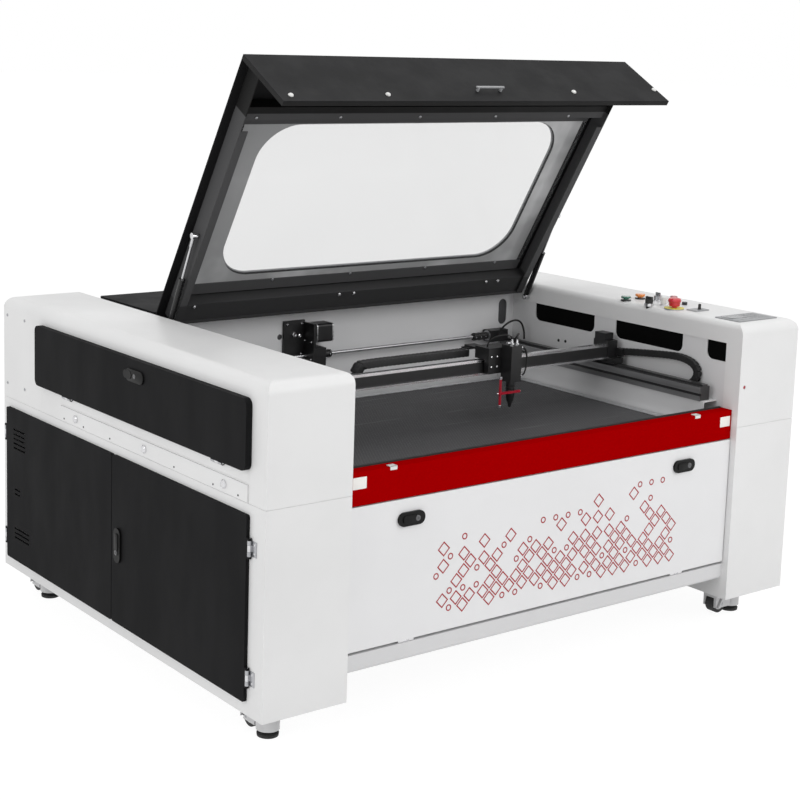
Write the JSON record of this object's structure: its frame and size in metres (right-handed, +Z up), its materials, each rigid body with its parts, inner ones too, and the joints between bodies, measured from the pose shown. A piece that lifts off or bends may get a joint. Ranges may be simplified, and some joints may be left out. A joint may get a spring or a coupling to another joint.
{
  "type": "laser cutting machine",
  "caption": "Floor-standing laser cutting machine with its lid open, a moving gantry over a lifting honeycomb bed, white side housings and casters.",
  "frame": {"origin": "centre of the footprint on the floor", "axes": "+X to the operator's right along the gantry, +Y to the back, +Z up"},
  "size_m": [1.9419, 1.43, 1.6612],
  "materials": {
    "white": "satin",
    "rear_grey": "satin",
    "inner_grey": "satin",
    "dark": "satin",
    "red": "satin",
    "seal": "matte",
    "black_metal": "satin",
    "steel": "satin",
    "chrome": "polished",
    "black_plastic": "matte",
    "red_plastic": "gloss",
    "green_plastic": "gloss",
    "orange_plastic": "gloss",
    "white_plastic": "gloss",
    "comb": "matte",
    "tube_glass": "clear",
    "supply": "satin",
    "clear": "clear",
    "strut_black": "gloss",
    "panel_grey": "matte",
    "caster_grey": "satin",
    "wheel": "matte"
  },
  "bodies": {
    "frame": {"housing_lower_left": "white", "housing_lower_right": "white", "housing_upper_left": "white", "housing_upper_right": "white", "chassis": "dark", "base_rail": "white", "rear_body": "rear_grey", "rear_services": "steel", "work_chamber": "inner_grey", "front_band": "red", "lid_seal": "seal", "y_rails": "black_metal", "gantry_drive": "black_metal", "y_drag_chain": "black_plastic", "lift_screws": "steel", "laser_tube": "tube_glass", "power_supply": "supply", "service_panels": "dark", "hinges": "chrome", "window_covers": "black_metal", "control_panel": "panel_grey"},
    "lid_body": {"lid": "dark", "lid_window": "clear"},
    "strut_left_tube": {"strut_body_left": "strut_black"},
    "strut_right_tube": {"strut_body_right": "strut_black"},
    "strut_left_piston": {"strut_rod_left": "steel"},
    "strut_right_piston": {"strut_rod_right": "steel"},
    "upper_door": {"door_upper_left": "dark"},
    "front_side_door": {"door_front_left": "dark"},
    "rear_side_door": {"door_rear_left": "dark"},
    "access_door": {"front_door": "white"},
    "tube_cover": {"rear_cover": "dark"},
    "upper_latch": {"latch_upper_left": "black_plastic"},
    "lower_latch": {"latch_lower_left": "black_plastic"},
    "access_latch_left": {"latch_front_left": "black_plastic"},
    "access_latch_right": {"latch_front_right": "black_plastic"},
    "gantry": {"gantry_beam": "black_metal", "gantry_rails": "steel", "x_drag_chain": "black_plastic"},
    "head": {"carriage": "black_metal"},
    "nozzle": {"lens_tube": "black_metal", "focus_pen": "red_plastic"},
    "bed": {"table_frame": "steel", "honeycomb": "comb"},
    "shaft": {"drive_shaft": "steel"},
    "green_push": {"button_green": "green_plastic"},
    "orange_push": {"button_orange": "orange_plastic"},
    "white_push": {"button_white": "white_plastic"},
    "stop_push": {"emergency_stop": "red_plastic"},
    "key_turn": {"key_switch": "black_plastic"},
    "knob_turn": {"selector_knob": "black_plastic"},
    "toggle_lever": {"toggle_switch": "black_plastic"},
    "fork_front_left": {"caster_front_left": "caster_grey"},
    "roller_front_left": {"wheel_front_left": "wheel"},
    "fork_front_right": {"caster_front_right": "caster_grey"},
    "roller_front_right": {"wheel_front_right": "wheel"},
    "fork_rear_left": {"caster_rear_left": "caster_grey"},
    "roller_rear_left": {"wheel_rear_left": "wheel"},
    "fork_rear_right": {"caster_rear_right": "caster_grey"},
    "roller_rear_right": {"wheel_rear_right": "wheel"}
  },
  "joints": [
    {"name": "lid_lift", "type": "hinge", "parent": "frame", "child": "lid_body", "pos_m": [0, 0.232, 0.896], "axis": [-1, 0, 0], "range_deg": [-59.5, 0]},
    {"name": "strut_left_swing", "type": "hinge", "parent": "frame", "child": "strut_left_tube", "pos_m": [-0.685, 0.195, 0.876], "axis": [-1, 0, 0], "range_deg": [-63.34, 0]},
    {"name": "strut_left_stroke", "type": "slide", "parent": "strut_left_tube", "child": "strut_left_piston", "axis": [0, -0.4229, 0.9062], "range_m": [-0.03688, 0]},
    {"name": "strut_right_swing", "type": "hinge", "parent": "frame", "child": "strut_right_tube", "pos_m": [0.685, 0.195, 0.876], "axis": [-1, 0, 0], "range_deg": [-63.34, 0]},
    {"name": "strut_right_stroke", "type": "slide", "parent": "strut_right_tube", "child": "strut_right_piston", "axis": [0, -0.4229, 0.9062], "range_m": [-0.03688, 0]},
    {"name": "upper_door_swing", "type": "hinge", "parent": "frame", "child": "upper_door", "pos_m": [-0.956, 0, 0.69], "axis": [0, -1, 0], "range_deg": [0, 100]},
    {"name": "front_side_door_swing", "type": "hinge", "parent": "frame", "child": "front_side_door", "pos_m": [-0.956, -0.656, 0.35], "axis": [0, 0, 1], "range_deg": [0, 110]},
    {"name": "rear_side_door_swing", "type": "hinge", "parent": "frame", "child": "rear_side_door", "pos_m": [-0.956, 0.688, 0.35], "axis": [0, 0, -1], "range_deg": [0, 110]},
    {"name": "access_door_swing", "type": "hinge", "parent": "frame", "child": "access_door", "pos_m": [0, -0.6895, 0.202], "axis": [1, 0, 0], "range_deg": [0, 90]},
    {"name": "tube_cover_lift", "type": "hinge", "parent": "frame", "child": "tube_cover", "pos_m": [0, 0.606, 0.909], "axis": [-1, 0, 0], "range_deg": [0, 95]},
    {"name": "upper_latch_turn", "type": "hinge", "parent": "upper_door", "child": "upper_latch", "pos_m": [-0.968, -0.089, 0.83], "axis": [-1, 0, 0], "range_deg": [0, 90]},
    {"name": "lower_latch_turn", "type": "hinge", "parent": "front_side_door", "child": "lower_latch", "pos_m": [-0.96, -0.022, 0.347], "axis": [-1, 0, 0], "range_deg": [0, 90]},
    {"name": "access_latch_left_turn", "type": "hinge", "parent": "access_door", "child": "access_latch_left", "pos_m": [-0.5, -0.695, 0.525], "axis": [0, -1, 0], "range_deg": [0, 90]},
    {"name": "access_latch_right_turn", "type": "hinge", "parent": "access_door", "child": "access_latch_right", "pos_m": [0.5, -0.695, 0.525], "axis": [0, -1, 0], "range_deg": [0, 90]},
    {"name": "gantry_travel", "type": "slide", "parent": "frame", "child": "gantry", "axis": [0, 1, 0], "range_m": [-0.325, 0.325]},
    {"name": "head_travel", "type": "slide", "parent": "gantry", "child": "head", "axis": [1, 0, 0], "range_m": [-0.755, 0.375]},
    {"name": "focus_travel", "type": "slide", "parent": "head", "child": "nozzle", "axis": [0, 0, 1], "range_m": [-0.01, 0.01]},
    {"name": "bed_lift", "type": "slide", "parent": "frame", "child": "bed", "axis": [0, 0, 1], "range_m": [-0.2, 0.02]},
    {"name": "shaft_spin", "type": "hinge", "parent": "frame", "child": "shaft", "pos_m": [0, 0.24, 0.747], "axis": [1, 0, 0], "range_deg": [-1560, 1560]},
    {"name": "swivel_front_left", "type": "hinge", "parent": "frame", "child": "fork_front_left", "pos_m": [-0.855, -0.57, 0.08], "axis": [0, 0, 1], "continuous": true},
    {"name": "roll_front_left", "type": "hinge", "parent": "fork_front_left", "child": "roller_front_left", "pos_m": [-0.855, -0.538, 0.033], "axis": [1, 0, 0], "continuous": true},
    {"name": "swivel_front_right", "type": "hinge", "parent": "frame", "child": "fork_front_right", "pos_m": [0.825, -0.6, 0.08], "axis": [0, 0, 1], "continuous": true},
    {"name": "roll_front_right", "type": "hinge", "parent": "fork_front_right", "child": "roller_front_right", "pos_m": [0.793, -0.6, 0.033], "axis": [0, 1, 0], "continuous": true},
    {"name": "swivel_rear_left", "type": "hinge", "parent": "frame", "child": "fork_rear_left", "pos_m": [-0.855, 0.63, 0.08], "axis": [0, 0, 1], "continuous": true},
    {"name": "roll_rear_left", "type": "hinge", "parent": "fork_rear_left", "child": "roller_rear_left", "pos_m": [-0.855, 0.662, 0.033], "axis": [1, 0, 0], "continuous": true},
    {"name": "swivel_rear_right", "type": "hinge", "parent": "frame", "child": "fork_rear_right", "pos_m": [0.825, 0.6, 0.08], "axis": [0, 0, 1], "continuous": true},
    {"name": "roll_rear_right", "type": "hinge", "parent": "fork_rear_right", "child": "roller_rear_right", "pos_m": [0.793, 0.6, 0.033], "axis": [0, 1, 0], "continuous": true},
    {"name": "green_press", "type": "slide", "parent": "frame", "child": "green_push", "axis": [0, 0, -1], "range_m": [0, 0.004], "stiffness_N_per_m": 400, "springref_m": -0.002},
    {"name": "orange_press", "type": "slide", "parent": "frame", "child": "orange_push", "axis": [0, 0, -1], "range_m": [0, 0.004], "stiffness_N_per_m": 400, "springref_m": -0.002},
    {"name": "white_press", "type": "slide", "parent": "frame", "child": "white_push", "axis": [0, 0, -1], "range_m": [0, 0.004], "stiffness_N_per_m": 400, "springref_m": -0.002},
    {"name": "stop_press", "type": "slide", "parent": "frame", "child": "stop_push", "axis": [0, 0, -1], "range_m": [0, 0.005]},
    {"name": "key_rotate", "type": "hinge", "parent": "frame", "child": "key_turn", "pos_m": [0.802, -0.286, 0.926], "axis": [0, 0, -1], "range_deg": [0, 90]},
    {"name": "knob_rotate", "type": "hinge", "parent": "frame", "child": "knob_turn", "pos_m": [0.712, -0.333, 0.928], "axis": [0, 0, -1], "range_deg": [-45, 45]},
    {"name": "toggle_flip", "type": "hinge", "parent": "frame", "child": "toggle_lever", "pos_m": [0.792, -0.466, 0.9215], "axis": [0, 1, 0], "range_deg": [-20, 20]}
  ],
  "couplings": [
    {"joint": "strut_left_swing", "follows": "lid_lift", "ratio": 1.0643},
    {"joint": "strut_left_stroke", "follows": "lid_lift", "m_per_rad": 0.035414},
    {"joint": "strut_right_swing", "follows": "lid_lift", "ratio": 1.0643},
    {"joint": "strut_right_stroke", "follows": "lid_lift", "m_per_rad": 0.035414},
    {"joint": "shaft_spin", "follows": "gantry_travel", "rad_per_m": 83.333}
  ]
}
